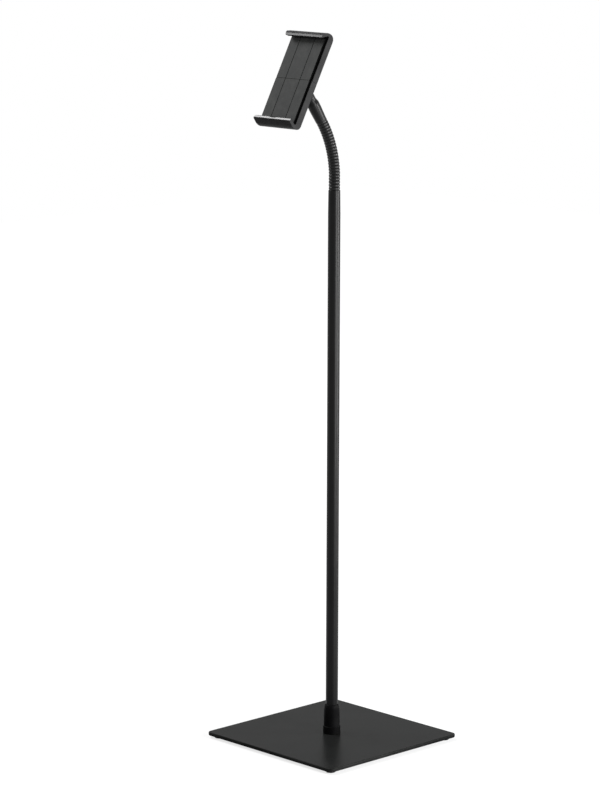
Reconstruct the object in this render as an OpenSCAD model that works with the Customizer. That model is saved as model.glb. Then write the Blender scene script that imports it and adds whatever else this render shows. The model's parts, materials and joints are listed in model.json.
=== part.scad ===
// Tablet floor stand: a weighted square base, a tall pole, a flexible ribbed neck
// and a sprung tablet holder on a ball joint.
// Millimetres. +Z is up, the origin is on the floor under the pole's axis and
// the holder faces -Y.

/* [Base] */
// Side of the square base plate
plate_side = 320; // [260:1:400]
// Thickness of the base plate
plate_thickness = 6.5; // [6:0.5:12]
// Radius of the plate's corners seen from above
plate_corner_radius = 10; // [6:1:30]
// Radius of the plate's softened edges
plate_edge_radius = 1.8; // [0.5:0.1:2.5]
// Diameter of a rubber foot
foot_diameter = 18; // [14:0.5:26]
// Height of a rubber foot
foot_height = 4.5; // [3.5:0.5:12]
// Distance of a foot's centre from the plate's edges
foot_inset = 17; // [16:1:60]
// Shank diameter of a foot's screw
foot_screw_diameter = 4; // [3:0.5:5]
// Shank diameter of the countersunk bolt that holds the pole
bolt_diameter = 10; // [8:0.5:12]
// Length of that bolt, head included
bolt_length = 40; // [30:1:60]
// Outer diameter of the collar ring on the plate
collar_diameter = 31.3; // [28:0.1:44]
// Height of the collar ring
collar_height = 14; // [8:0.5:30]
// Outer diameter of the pole sleeve at its foot
sleeve_diameter = 29; // [27:0.1:40]
// Height of the pole sleeve, shoulder included
sleeve_height = 40; // [25:1:80]
// How much the sleeve narrows in diameter up to its shoulder
sleeve_taper = 0.7; // [0:0.1:1.5]
// Height of the sleeve's rounded shoulder
sleeve_shoulder = 10; // [4:0.5:16]

/* [Pole] */
// Outer diameter of the pole
pole_diameter = 22; // [21:0.1:24]
// Wall of the pole
pole_wall = 1.2; // [0.8:0.1:1.5]
// Length of the pole
pole_length = 983; // [600:1:1200]
// Length over which the pole's top is swaged
swage_length = 42; // [20:1:80]
// Diameter lost by the swage at the very top
swage_depth = 1; // [0.2:0.1:1.2]
// Length of the plugs pressed into the pole's ends
plug_length = 44; // [30:1:80]

/* [Neck] */
// Number of ribs in the flexible neck
rib_count = 24; // [14:1:24]
// Distance from one rib to the next
rib_pitch = 5.5; // [4.5:0.1:7]
// Diameter over the ribs
neck_diameter = 20; // [19:0.1:20.5]
// Depth of the groove between two ribs
groove_depth = 1.1; // [0.6:0.1:1.3]
// Diameter of the bore through the neck
neck_bore = 9; // [5:0.5:11]
// Radius of the ball faces on which the ribs turn
seat_radius = 14; // [13.5:0.1:18]
// Ribs that stand straight above the pole before the bend starts
straight_ribs = 6; // [1:1:10]
// Lean of the neck's end from the vertical, in degrees
neck_lean = 33.5; // [0:0.5:50]
// Height of the lowest rib's seat above the pole's top
root_lift = 0.5; // [0.4:0.1:2]

/* [Ferrule] */
// Diameter of the ferrule at its swaged lower end
ferrule_foot_diameter = 20.2; // [19.5:0.1:22]
// Diameter of the ferrule above the swage
ferrule_diameter = 21.7; // [20.5:0.1:26]
// Wall of the ferrule round the neck's end
ferrule_wall = 1.4; // [1:0.1:2]
// Length of the ferrule up to the end of its shoulder
ferrule_length = 38.5; // [30:0.5:80]
// Length of the swage on the ferrule
ferrule_swage = 22; // [8:1:26]
// Length of the shoulder between the ferrule's body and its neck
ferrule_shoulder = 4.3; // [1:0.1:8]
// Length of the ferrule's neck above the shoulder
ferrule_neck = 11; // [6:0.5:14]
// Length of the plug that ends the neck inside the ferrule
neck_tip_length = 12; // [8:0.5:16]

/* [Ball joint] */
// Diameter of the ball
ball_diameter = 20; // [18:0.5:22]
// Diameter of the ball's neck
ball_neck_diameter = 8; // [6:0.5:9]
// Diameter of the ferrule's neck and of the stud's cone that meets it
stem_diameter = 17.5; // [12:0.1:18]
// Length of the cone between the ferrule and the ball's neck
stem_cone = 9; // [6:0.5:14]
// Diameter of the shank that turns in the ferrule
shank_diameter = 10; // [8:0.5:12]
// Length of that shank inside the ferrule
shank_length = 27; // [14:0.5:28]
// Distance from the ferrule's shoulder to the ball's centre
ball_reach = 29.5; // [27:0.5:45]
// Distance from the holder's back to the ball's centre
ball_depth = 18.5; // [16:0.5:26]
// Wall of the split liner round the ball
liner_wall = 1.2; // [0.8:0.1:1.6]
// Half angle of the opening that the ball's neck swings in, in degrees
socket_opening = 66; // [60:1:70]
// Wall of the socket at its widest
socket_wall = 2.4; // [1.8:0.1:3]
// Diameter of the socket's flange
flange_diameter = 40; // [38:0.5:44]
// Thickness of the socket's flange
flange_thickness = 3.2; // [2.4:0.1:5]
// Wall of the ring nut round the socket
ring_wall = 2.6; // [2:0.1:5]
// Height of the ring nut
ring_height = 12; // [8:0.5:14]
// Number of grip flutes on the ring nut
ring_flutes = 20; // [8:1:28]

/* [Holder] */
// Width of the holder
holder_width = 90; // [84:0.5:120]
// Length of each half, from the seam to the end of its hook
half_length = 89; // [84:0.5:120]
// Lean of the holder back from the vertical, in degrees
holder_lean = 28.3; // [5:0.1:60]
// Height of the seam above the ball's axis
seam_rise = 1.5; // [-4:0.1:4]
// Thickness of the shells' back and side walls
shell_wall = 2.4; // [1.8:0.1:3]
// Depth of the lower shell, from the back to the front edge of its walls
lower_depth = 12.6; // [11.6:0.1:14]
// Depth of the upper shell
upper_depth = 12; // [11.6:0.1:14]
// Radius of the bend between the back and the end of a shell
back_bend = 10; // [4:0.5:14]
// Depth at which the hook's underside leaves the end of its shell
hook_root = 16.6; // [14:0.1:20]
// Reach of the hooks in front of the holder's back
hook_reach = 29.4; // [26:0.1:40]
// Height of the hook's tip above the end of the shell
hook_height = 12.7; // [9:0.1:16]
// Height of the bright band that ends the hook
hook_band = 5.8; // [3:0.1:8]
// Thickness of the floor inside a hook, under its slope
hook_floor = 7.1; // [6:0.1:8]
// Radius of the hook's rounded heel
heel_radius = 20; // [4:0.5:24]
// Radius of the groove inside the hook
hook_groove = 2.5; // [0.5:0.1:3]
// Radius of the hook's rounded tip
tip_radius = 0.9; // [0.3:0.1:1.2]
// How much further the upper hook's lip comes down over its pad
upper_lip = 2; // [0:0.1:3]
// Radius of the corners at the two ends of a lip
lip_corner = 3; // [1:0.1:4]
// Width of the notch in the lower hook
notch_width = 15; // [6:0.5:40]
// Depth of that notch
notch_depth = 2; // [1:0.1:4]
// Width of the pads and of the plates that carry them
pad_width = 82; // [76:0.2:84]
// Thickness of a pad
pad_thickness = 1; // [0.8:0.1:1.2]
// Thickness of a face plate, whose front stands proud of the walls
face_thickness = 4; // [3.6:0.1:4.2]
// Distance of the pads' front from the holder's back
pad_front = 16; // [15.8:0.1:18]
// Distance of a pad's grooves from the centre line
groove_offset = 17.8; // [8:0.1:30]
// Width of a pad's grooves
pad_groove = 1.2; // [0.6:0.1:3]
// Thickness of the rubber grip inside a hook
grip_thickness = 1.2; // [0.8:0.1:2]

/* [Slide] */
// How far the upper half pulls out
slide_travel = 62; // [20:1:64]
// Length of the tongue that stays in the lower half when it is pulled out
tongue_grip = 18.4; // [12:0.1:30]
// Width of the slide tongue
tongue_width = 56; // [50:0.5:57]
// Thickness of the tongue's front web
tongue_web = 2.4; // [1.6:0.1:3]
// Thickness of the tongue's flanges and centre rib
tongue_flange = 4; // [2:0.5:5]
// Outer diameter of a spring
spring_diameter = 4.4; // [3.4:0.1:4.6]
// Diameter of the spring wire
spring_wire = 0.7; // [0.5:0.1:0.9]
// Length of a spring between its anchors
spring_length = 40; // [30:1:44]
// Number of turns of a spring
spring_turns = 18; // [8:1:22]
// Diameter of the shells' screws
screw_diameter = 2.9; // [2:0.1:3.2]

/* [Clearances] */
// Gap between faces that move past each other
running_gap = 0.3; // [0.2:0.05:0.4]
// Radial gap of a turning fit
turning_gap = 0.08; // [0.02:0.01:0.1]
// Radial gap of a fixed fit
fit_gap = 0.05; // [0.02:0.01:0.1]
// Gap at the seam between the two halves
seam_gap = 0.5; // [0.3:0.1:1.5]

/* [Hidden] */
$fn = 96;
hull_facets = 32;
// How far a cutting shape runs past the face that it cuts
cut = 1;
// Play left beyond the tip of a screw, and how far its head lies below the surface
tip_play = 0.5;
head_sink = 0.2;

// Heights along the pole
plate_bottom = foot_height;
plate_top = plate_bottom + plate_thickness;
pole_top = plate_top + pole_length;
collar_top = plate_top + collar_height;
pole_radius = pole_diameter/2;
pole_bore = pole_radius - pole_wall;
swage_radius = pole_radius - swage_depth/2;
foot_place = plate_side/2 - foot_inset;
plate_edge = min(plate_edge_radius, 0.4*plate_thickness);
foot_hole_roof = 1.5;
foot_hole_top = plate_top - foot_hole_roof;
foot_head_low = 0.5;
foot_head_top = 2;
foot_head_play = 1;

// Neck: each rib turns on the ball face of the one below it
rib_radius = neck_diameter/2;
valley_radius = rib_radius - groove_depth;
root_radius = swage_radius - pole_wall - fit_gap;
upper_seat = seat_radius + running_gap;
rib_low = sqrt(upper_seat*upper_seat - valley_radius*valley_radius);
rib_high = rib_pitch + sqrt(seat_radius*seat_radius - valley_radius*valley_radius);
rib_half = (rib_high - rib_low)/2;
bulge_radius = (rib_half*rib_half + groove_depth*groove_depth)/(2*groove_depth);
root_rim = sqrt(seat_radius*seat_radius - root_radius*root_radius);
first_hinge = pole_top + root_lift - root_rim;
last_link = rib_count + 1;

function along(lean) = [0, -sin(lean), cos(lean)];
function lean_of(link) = max(0, link - straight_ribs)*neck_lean/(last_link - straight_ribs);
function hinge_of(link) = link == 1 ? [0, 0, first_hinge]
    : hinge_of(link - 1) + rib_pitch*along(lean_of(link - 1));
function rib_name(i) = str("neck_rib_", i < 10 ? "0" : "", i);

// Ferrule and ball, measured from the last hinge along the neck's end
ferrule_top = rib_low + ferrule_length;
ferrule_end = ferrule_top + ferrule_neck;
ferrule_bore = ferrule_foot_diameter/2 - ferrule_wall;
ball_radius = ball_diameter/2;
ball_height = ferrule_top + ball_reach;
ball_centre = hinge_of(last_link) + ball_height*along(neck_lean);
liner_bore = ball_radius + turning_gap;
liner_radius = liner_bore + liner_wall;
socket_bore = liner_radius + turning_gap;
socket_radius = socket_bore + socket_wall;
socket_end = ball_depth + socket_bore*cos(socket_opening);
ring_bore = socket_radius + turning_gap;
ring_radius = ring_bore + ring_wall;
ring_end = ball_depth + liner_bore*cos(socket_opening);
flange_radius = flange_diameter/2;
flange_screw_inset = 0.5;
flange_screw_place = (ring_radius + flange_radius)/2 - flange_screw_inset;

// Holder: depth is counted forward from its back, height from the seam
tab_margin = 1;
tab_radius = flange_radius + tab_margin;
inner_half = holder_width/2 - shell_wall;
face_back = pad_front - pad_thickness - face_thickness;
face_front = face_back + face_thickness;
face_roof = 0.5;
hook_tip = half_length - hook_height;
hook_nose = hook_tip + hook_band;
floor_height = half_length - hook_floor;
hook_bend = 1;
band_lean = 2;
grip_margin = 0.3;
floor_step = 2;
cavity_end = floor_height - floor_step;
pad_margin = 1.5;
pad_end = cavity_end - pad_margin;
rail_wall = 2;
rail_inner = tongue_width/2 + running_gap;
post_radius = 3;
post_margin = 1;
post_x = rail_inner + rail_wall + running_gap + post_margin + post_radius;
post_seam_inset = 10;
post_end_inset = 8;
post_heights = [post_seam_inset, pad_end - post_end_inset];

// Slide tongue and its springs
tongue_back = shell_wall + 2*running_gap;
tongue_front = face_back - 2*running_gap;
tongue_end_play = 1;
tongue_hole_roof = 1;
tongue_low = min(slide_travel + tongue_grip, cavity_end - tongue_end_play);
tongue_high = half_length - back_bend - post_seam_inset;
spring_x = tongue_width/4;
spring_depth = (shell_wall + tongue_front - tongue_web)/2;
anchor_length = 3;
anchor_width = 5;
spring_low = tongue_low - tongue_end_play - anchor_length;
tongue_screw_height = tongue_high - post_end_inset;
head_radius = screw_diameter;
head_height = 1.2;

// Spring wire: points on a helix and the least gap between neighbouring turns
spring_rings = 8;
spring_sides = 6;
wire_radius = spring_wire/2;
coil_radius = spring_diameter/2 - wire_radius;
coil_rise = spring_length - spring_wire;
spring_steps = spring_turns*spring_rings;
function coil_centre(i) =
    let (a = 360*i/spring_rings)
    [coil_radius*cos(a), coil_radius*sin(a), wire_radius + coil_rise*i/spring_steps];
function coil_point(i, side) =
    let (a = 360*i/spring_rings, b = 360*side/spring_sides)
    coil_centre(i) + wire_radius*[cos(b)*cos(a), cos(b)*sin(a), sin(b)];
echo(spring_least_gap = min(
    [for (i = [0:spring_steps - spring_rings])
        for (j = [i + spring_rings/2:min(i + 2*spring_rings, spring_steps)])
            norm(coil_centre(j) - coil_centre(i)) - spring_wire]));

function unit(v) = v/norm(v);

// Corner of an outline between two neighbours, rounded to a radius
function corner_arc(before, corner, after, radius, steps = 6) =
    let (u = unit(before - corner), v = unit(after - corner), half = acos(u*v)/2,
         centre = corner + unit(u + v)*radius/sin(half),
         first = unit(corner + u*radius/tan(half) - centre),
         last = unit(corner + v*radius/tan(half) - centre))
    [for (i = [0:steps]) centre + radius*unit(first*(1 - i/steps) + last*i/steps)];

// Tip of a hook whose lip is that much longer, and the direction of the slope inside it
function tip_of(lip) = [hook_reach - band_lean, hook_tip - lip];
function slope_of(lip) = unit(tip_of(lip) - [hook_root + hook_bend, floor_height]);

// Point where the slope inside a hook meets the front of a shell's walls
function groove_corner(depth, lip) =
    let (slope = slope_of(lip)) tip_of(lip) + slope*(depth - tip_of(lip)[0])/slope[0];

// Points of an arc, without repeating its ends in the caller's list
function arc(centre, radius, from, to, steps = 8) =
    [for (i = [0:steps]) let (a = from + (to - from)*i/steps) centre + radius*[cos(a), sin(a)]];

// Puts a shape on the neck's link, with its hinge at the origin and its axis along +Z
module on_neck(link) {
    translate(hinge_of(link)) rotate([lean_of(link), 0, 0]) children();
}

// Puts a shape on the holder: back at y = 0, front towards -Y, seam at z = seam_rise
module on_holder() {
    translate(ball_centre) rotate([-holder_lean, 0, 0]) translate([0, -ball_depth, 0]) children();
}

// Puts a shape on one half of the holder, counted from the seam towards the hook
module on_half(upper) {
    on_holder() translate([0, 0, seam_rise]) mirror([0, 0, upper ? 0 : 1]) children();
}

// Extrudes an outline of depth and height across the given width, about the centre line
module across(width) {
    translate([width/2, 0, 0]) rotate([90, 0, -90]) linear_extrude(width) children();
}

// A box given by its half width, its depths from the back and its heights from the seam
module block(half_width, depths, heights) {
    translate([-half_width, -depths[1], heights[0]])
        cube([2*half_width, depths[1] - depths[0], heights[1] - heights[0]]);
}

// A round bar that runs forward from one depth to another
module bar(radius, depths) {
    translate([0, -depths[0], 0]) rotate([90, 0, 0]) cylinder(r = radius, h = depths[1] - depths[0]);
}

module at_feet() {
    for (x = [-1, 1], y = [-1, 1]) translate([x*foot_place, y*foot_place, 0]) children();
}

// Weighted plate with softened edges, a countersunk hole and four blind holes for the feet
module base_plate() {
    corner = plate_side/2 - plate_corner_radius;
    color("#26282a") difference() {
        hull() for (x = [-1, 1], y = [-1, 1], z = [plate_bottom + plate_edge, plate_top - plate_edge])
            translate([x*corner, y*corner, z])
                rotate_extrude($fn = hull_facets) intersection() {
                    translate([plate_corner_radius - plate_edge, 0]) circle(plate_edge, $fn = hull_facets/2);
                    translate([0, -plate_edge]) square([plate_corner_radius, 2*plate_edge]);
                }
        translate([0, 0, plate_bottom - cut])
            cylinder(r = bolt_diameter/2 + fit_gap, h = plate_thickness + 2*cut);
        base_bolt_head(fit_gap);
        at_feet() translate([0, 0, plate_bottom - cut])
            cylinder(d = foot_screw_diameter + 2*fit_gap, h = foot_hole_top - plate_bottom + cut);
    }
}

// Cone of the bolt's head, grown by a gap for the hole that it lies in
module base_bolt_head(gap) {
    head_top = plate_bottom + bolt_diameter/2;
    translate([0, 0, plate_bottom - gap])
        cylinder(r1 = bolt_diameter + 2*gap, r2 = bolt_diameter/2 + gap, h = head_top - plate_bottom + gap);
}

module base_bolt() {
    hex_depth = 3;
    hex_size = 0.7*bolt_diameter;
    color("#8c8f92") difference() {
        union() {
            base_bolt_head(0);
            translate([0, 0, plate_bottom]) cylinder(d = bolt_diameter, h = bolt_length);
        }
        translate([0, 0, plate_bottom - cut])
            cylinder(d = hex_size, h = hex_depth + cut, $fn = 6);
    }
}

// Rubber foot with a rounded tread edge and a recess for its screw
module rubber_foot(x, y) {
    radius = foot_diameter/2;
    tread = foot_height/3;
    recess = foot_screw_diameter + foot_head_play;
    color("#141414") translate([x*foot_place, y*foot_place, 0]) rotate_extrude()
        difference() {
            polygon(concat(arc([radius - tread, tread], tread, -90, 0),
                           [[radius, foot_height], [0, foot_height], [0, 0]]));
            translate([-cut, -cut]) square([recess + cut, foot_head_top + cut]);
            translate([-cut, -cut]) square([foot_screw_diameter/2 + fit_gap + cut, foot_height + 2*cut]);
        }
}
module foot_front_left() { rubber_foot(-1, -1); }
module foot_front_right() { rubber_foot(1, -1); }
module foot_back_left() { rubber_foot(-1, 1); }
module foot_back_right() { rubber_foot(1, 1); }

module foot_screws() {
    tip = foot_hole_top - tip_play;
    color("#9a9c9e") at_feet() translate([0, 0, foot_head_low]) {
        cylinder(r = foot_screw_diameter, h = foot_head_top - foot_head_low);
        cylinder(d = foot_screw_diameter, h = tip - foot_head_low);
    }
}

// Collar ring that centres the pole on the plate
module base_collar() {
    radius = collar_diameter/2;
    bevel = 0.8;
    bore = pole_radius + fit_gap;
    color("#1d1e20") rotate_extrude()
        polygon([[bore, plate_top], [radius, plate_top], [radius, collar_top - bevel],
                 [radius - bevel, collar_top], [bore, collar_top]]);
}

// Tapered sleeve with a rounded shoulder, standing on the collar
module pole_sleeve() {
    radius = sleeve_diameter/2;
    bore = pole_radius + fit_gap;
    lip = 0.5;
    top = collar_top + sleeve_height;
    shoulder = top - sleeve_shoulder;
    rise = radius - sleeve_taper/2 - bore - lip;
    color("#242527") rotate_extrude()
        polygon(concat([[bore, collar_top], [radius, collar_top]],
            [for (a = [0:10:90]) [bore + lip + rise*cos(a), shoulder + sleeve_shoulder*sin(a)]],
            [[bore, top]]));
}

// Tube with a swaged top
module pole() {
    swage = pole_top - swage_length;
    color("#222326") rotate_extrude()
        polygon([[pole_bore, plate_top], [pole_radius, plate_top], [pole_radius, swage],
                 [swage_radius, pole_top], [swage_radius - pole_wall, pole_top], [pole_bore, swage]]);
}

// Threaded plug in the pole's foot
module pole_foot_plug() {
    color("#77797c") translate([0, 0, plate_top]) difference() {
        cylinder(r = pole_bore - fit_gap, h = plug_length);
        translate([0, 0, -cut]) cylinder(r = bolt_diameter/2 + fit_gap, h = plug_length + 2*cut);
    }
}

// Plug in the pole's top, ending in the ball face of the lowest rib
module neck_root() {
    height = root_rim + plug_length;
    color("#2c2d30") difference() {
        intersection() {
            translate([0, 0, pole_top - plug_length]) cylinder(r = root_radius, h = height);
            union() {
                translate([0, 0, first_hinge]) sphere(r = seat_radius);
                translate([0, 0, pole_top - plug_length - cut])
                    cylinder(r = seat_radius, h = first_hinge - pole_top + plug_length + cut);
            }
        }
        translate([0, 0, pole_top - plug_length - cut]) cylinder(d = neck_bore, h = height + 2*cut);
    }
}

// One rib of the neck: a rounded ring, hollow below and domed above
module rib_shape() {
    middle = rib_low + rib_half;
    difference() {
        intersection() {
            rotate_extrude() {
                translate([rib_radius - bulge_radius, middle]) circle(bulge_radius);
                square([rib_radius - bulge_radius, rib_pitch + seat_radius + cut]);
            }
            translate([0, 0, rib_pitch]) sphere(r = seat_radius);
        }
        sphere(r = upper_seat);
        cylinder(d = neck_bore, h = rib_pitch + seat_radius + cut);
    }
}
module neck_rib(i) { color("#2c2d30") on_neck(i) rib_shape(); }

// Plug that ends the neck inside the ferrule, hollow below
module neck_tip() {
    color("#2c2d30") on_neck(last_link) difference() {
        cylinder(r = ferrule_bore - fit_gap, h = rib_low + neck_tip_length);
        sphere(r = upper_seat);
        cylinder(d = neck_bore, h = rib_low + neck_tip_length + cut);
    }
}

// Smooth tube over the neck's end, swaged at its foot and drawn in to a neck by a shoulder
module ferrule() {
    foot = ferrule_foot_diameter/2;
    body = ferrule_diameter/2;
    top = stem_diameter/2;
    bore_end = ferrule_end - shank_length - running_gap;
    color("#222326") on_neck(last_link) difference() {
        rotate_extrude()
            polygon([[0, 0], [foot, 0], [foot, rib_low], [body, rib_low + ferrule_swage],
                     [body, ferrule_top - ferrule_shoulder], [top, ferrule_top], [top, ferrule_end],
                     [0, ferrule_end]]);
        sphere(r = upper_seat);
        cylinder(r = ferrule_bore, h = bore_end);
        cylinder(r = shank_diameter/2 + turning_gap, h = ferrule_end + cut);
    }
}

// Shank, cone and ball, turned in one piece
module ball_stud() {
    seat = ferrule_end + running_gap;
    neck = ball_neck_diameter/2;
    color("#303235") on_neck(last_link) {
        translate([0, 0, ferrule_end - shank_length]) cylinder(d = shank_diameter, h = shank_length + cut);
        translate([0, 0, seat]) cylinder(r1 = stem_diameter/2, r2 = neck, h = stem_cone);
        translate([0, 0, seat]) cylinder(r = neck, h = ball_height - seat);
        translate([0, 0, ball_height]) sphere(r = ball_radius);
    }
}

// Split liner between the ball and the socket
module ball_liner() {
    slit = 1.2;
    front = 0.9*liner_bore;
    back = liner_bore*cos(socket_opening);
    color("#6d6f70") on_holder() translate([0, ball_depth, 0]) difference() {
        intersection() {
            sphere(r = liner_radius);
            bar(liner_radius + cut, [-back, front]);
        }
        sphere(r = liner_bore);
        translate([-slit/2, -liner_radius - cut, 0]) cube([slit, 2*(liner_radius + cut), liner_radius + cut]);
    }
}

// Socket with its flange, open to the back
module ball_socket() {
    color("#1f2022") on_holder() difference() {
        union() {
            bar(socket_radius, [-socket_end, 0]);
            bar(flange_radius, [-flange_thickness, 0]);
        }
        translate([0, ball_depth, 0]) rotate([90, 0, 0]) sphere(r = socket_bore);
        at_socket_screws() bar(screw_diameter/2 + fit_gap, [-flange_thickness - cut, cut]);
    }
}

module at_socket_screws() {
    for (a = [45:90:315]) rotate([0, a, 0]) translate([flange_screw_place, 0, 0]) children();
}

module socket_screws() {
    small_head = 0.85*head_radius;
    color("#8c8f92") on_holder() at_socket_screws() {
        bar(small_head, [-flange_thickness - head_height, -flange_thickness]);
        bar(screw_diameter/2, [-flange_thickness - head_height, shell_wall - tip_play]);
    }
}

// Ring nut that closes the socket on the ball
module lock_ring() {
    flute = 1.1;
    flute_place = ring_radius + 0.4*flute;
    color("#2a2b2d") on_holder() difference() {
        bar(ring_radius, [-ring_end, ring_height - ring_end]);
        bar(ring_bore, [-ring_end - cut, ring_height - ring_end + cut]);
        for (i = [0:ring_flutes - 1]) rotate([0, 360*i/ring_flutes, 0])
            translate([flute_place, 0, 0])
                bar(flute, [-ring_end - cut, ring_height - ring_end + cut]);
    }
}

// Side outline of one half: straight back, rounded bend, sloping hook with its front band
module half_outline(depth, lip) {
    seam_front = [depth, seam_gap/2];
    groove = groove_corner(depth, lip);
    tip = tip_of(lip);
    nose = [hook_reach, hook_nose];
    heel = [hook_root, half_length];
    polygon(concat(
        [[0, seam_gap/2], seam_front],
        corner_arc(seam_front, groove, tip, hook_groove),
        corner_arc(groove, tip, nose, tip_radius),
        corner_arc(tip, nose, heel, tip_radius),
        corner_arc(nose, heel, [back_bend, half_length], heel_radius),
        arc([back_bend, half_length - back_bend], back_bend, 90, 180)));
}

// One shell: the outline across the holder's width, hollowed from the front and the seam
module half_shell(depth, lip) {
    difference() {
        across(holder_width) half_outline(depth, lip);
        lip_ends(lip);
        block(inner_half, [shell_wall, depth + cut], [0, cavity_end]);
        at_posts() bar(screw_diameter/2 + fit_gap, [-cut, shell_wall + cut]);
        at_posts() bar(head_radius + fit_gap, [-cut, head_height]);
    }
    at_posts() difference() {
        bar(post_radius, [shell_wall, face_back]);
        bar(screw_diameter/2 + fit_gap, [shell_wall - cut, face_back + cut]);
    }
}

// What is cut off the two ends of a lip to round their corners
module lip_ends(lip) {
    low = tip_of(lip)[1];
    back = hook_root + hook_bend;
    front = hook_reach + cut;
    for (x = [-1, 1]) difference() {
        translate([x*holder_width/2, 0, 0]) block(lip_corner, [back, front], [low - cut, low + lip_corner]);
        translate([x*(holder_width/2 - lip_corner), 0, low + lip_corner])
            bar(lip_corner, [back - cut, front + cut]);
    }
}

module at_posts() {
    for (x = [-1, 1], z = post_heights) translate([x*post_x, 0, z]) children();
}

module half_screws() {
    at_posts() {
        bar(head_radius, [head_sink, head_height]);
        bar(screw_diameter/2, [head_sink, face_front - face_roof - head_sink]);
    }
}

module half_face_plate() {
    difference() {
        block(pad_width/2, [face_back, face_front], [seam_gap/2, pad_end]);
        at_posts() bar(screw_diameter/2 + fit_gap, [face_back - cut, face_front - face_roof]);
    }
}

// Pad in three columns, parted by two shallow grooves
module half_pad() {
    groove = 0.6*pad_thickness;
    difference() {
        block(pad_width/2, [face_front, pad_front], [seam_gap/2, pad_end]);
        for (x = [-groove_offset, groove_offset]) translate([x, 0, 0])
            block(pad_groove/2, [pad_front - groove, pad_front + cut], [0, pad_end + cut]);
    }
}

// Rubber strip on the slope of a hook
module half_grip(lip) {
    slope = slope_of(lip);
    half_angle = acos(-slope[1])/2;
    inward = grip_thickness*[slope[1], -slope[0]];
    start = groove_corner(lower_depth, lip) + (hook_groove/tan(half_angle) + grip_margin)*slope;
    end = tip_of(lip) - (tip_radius + grip_margin)*slope;
    across(pad_width) polygon([start, end, end + inward, start + inward]);
}

// Lower shell with the socket's seat, the tongue's rails, the springs' anchors and the hook's notch
module lower_shell() {
    color("#55585a") {
        on_half(false) {
            difference() {
                half_shell(lower_depth, 0);
                block(notch_width/2, [hook_root, hook_reach + cut], [hook_tip - cut, hook_tip + notch_depth]);
                translate([0, 0, seam_rise]) at_socket_screws()
                    bar(screw_diameter/2 + fit_gap, [-cut, shell_wall + cut]);
            }
            for (x = [-1, 1]) {
                translate([x*(rail_inner + rail_wall/2), 0, 0])
                    block(rail_wall/2, [shell_wall, face_back - running_gap], [seam_gap, cavity_end]);
                translate([x*spring_x, 0, 0])
                    block(anchor_width/2, [shell_wall, spring_depth + spring_diameter/2],
                          [spring_low + running_gap, cavity_end]);
            }
        }
        on_holder() difference() {
            bar(tab_radius, [0, shell_wall]);
            at_socket_screws() bar(screw_diameter/2 + fit_gap, [-cut, shell_wall + cut]);
            translate([0, 0, seam_rise - seam_gap/2 - tab_radius])
                block(tab_radius + cut, [-cut, shell_wall + cut], [-tab_radius, tab_radius]);
        }
    }
}

// Upper shell, notched round the socket's seat, with two bosses for the tongue
module upper_shell() {
    color("#55585a") {
        difference() {
            on_half(true) half_shell(upper_depth, upper_lip);
            on_holder() bar(tab_radius + running_gap, [-cut, shell_wall + cut]);
            on_half(true) at_tongue_screws() {
                bar(screw_diameter/2 + fit_gap, [-cut, shell_wall + cut]);
                bar(head_radius + fit_gap, [-cut, head_height]);
            }
        }
        on_half(true) at_tongue_screws() difference() {
            bar(post_radius, [shell_wall, tongue_back]);
            bar(screw_diameter/2 + fit_gap, [shell_wall - cut, tongue_back + cut]);
        }
    }
}

module at_tongue_screws() {
    for (x = [-1, 1]) translate([x*spring_x, 0, tongue_screw_height]) children();
}

module lower_face_plate() { color("#1b1c1d") on_half(false) half_face_plate(); }
module upper_face_plate() { color("#1b1c1d") on_half(true) half_face_plate(); }
module lower_pad() { color("#3a3b3c") on_half(false) half_pad(); }
module upper_pad() { color("#3a3b3c") on_half(true) half_pad(); }
module lower_grip() { color("#2b2c2d") on_half(false) half_grip(0); }
module upper_grip() { color("#2b2c2d") on_half(true) half_grip(upper_lip); }
module lower_screws() { color("#8c8f92") on_half(false) half_screws(); }
module upper_screws() { color("#8c8f92") on_half(true) half_screws(); }

// Tongue of the upper half: a web with flanges, running between the lower shell's rails
module slide_tongue() {
    half = tongue_width/2;
    heights = [-tongue_low, tongue_high];
    hook_low = spring_length - spring_low + running_gap;
    color("#2b2c2d") on_half(true) difference() {
        union() {
            block(half, [tongue_front - tongue_web, tongue_front], heights);
            block(tongue_flange/2, [tongue_back, tongue_front], heights);
            for (x = [-1, 1]) {
                translate([x*(half - tongue_flange/2), 0, 0])
                    block(tongue_flange/2, [tongue_back, tongue_front], heights);
                translate([x*spring_x, 0, 0])
                    block(anchor_width/2, [tongue_back, tongue_front], [hook_low, hook_low + anchor_length]);
            }
            at_tongue_screws() bar(post_radius, [tongue_back, tongue_front]);
        }
        at_tongue_screws()
            bar(screw_diameter/2 + fit_gap, [tongue_back - cut, tongue_front - tongue_hole_roof]);
    }
}

module tongue_screws() {
    color("#8c8f92") on_half(true) at_tongue_screws() {
        bar(head_radius, [head_sink, head_height]);
        bar(screw_diameter/2, [head_sink, tongue_front - tongue_hole_roof - head_sink]);
    }
}

// Spring: one unbroken wire swept along a helix, closed by a flat fan at each end
module coil_spring() {
    last = spring_steps*spring_sides;
    polyhedron(
        points = [for (i = [0:spring_steps], s = [0:spring_sides - 1]) coil_point(i, s)],
        faces = concat(
            [for (s = [1:spring_sides - 2]) [0, s, s + 1]],
            [for (s = [1:spring_sides - 2]) [last, last + s + 1, last + s]],
            [for (i = [0:spring_steps - 1], s = [0:spring_sides - 1])
                let (a = i*spring_sides + s, b = i*spring_sides + (s + 1) % spring_sides)
                [a, a + spring_sides, b]],
            [for (i = [0:spring_steps - 1], s = [0:spring_sides - 1])
                let (a = i*spring_sides + s, b = i*spring_sides + (s + 1) % spring_sides)
                [b, a + spring_sides, b + spring_sides]]));
}
module spring(x) {
    color("#9a9c9e") on_half(true)
        translate([x*spring_x, -spring_depth, -spring_low]) coil_spring();
}
module spring_left() { spring(-1); }
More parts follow.
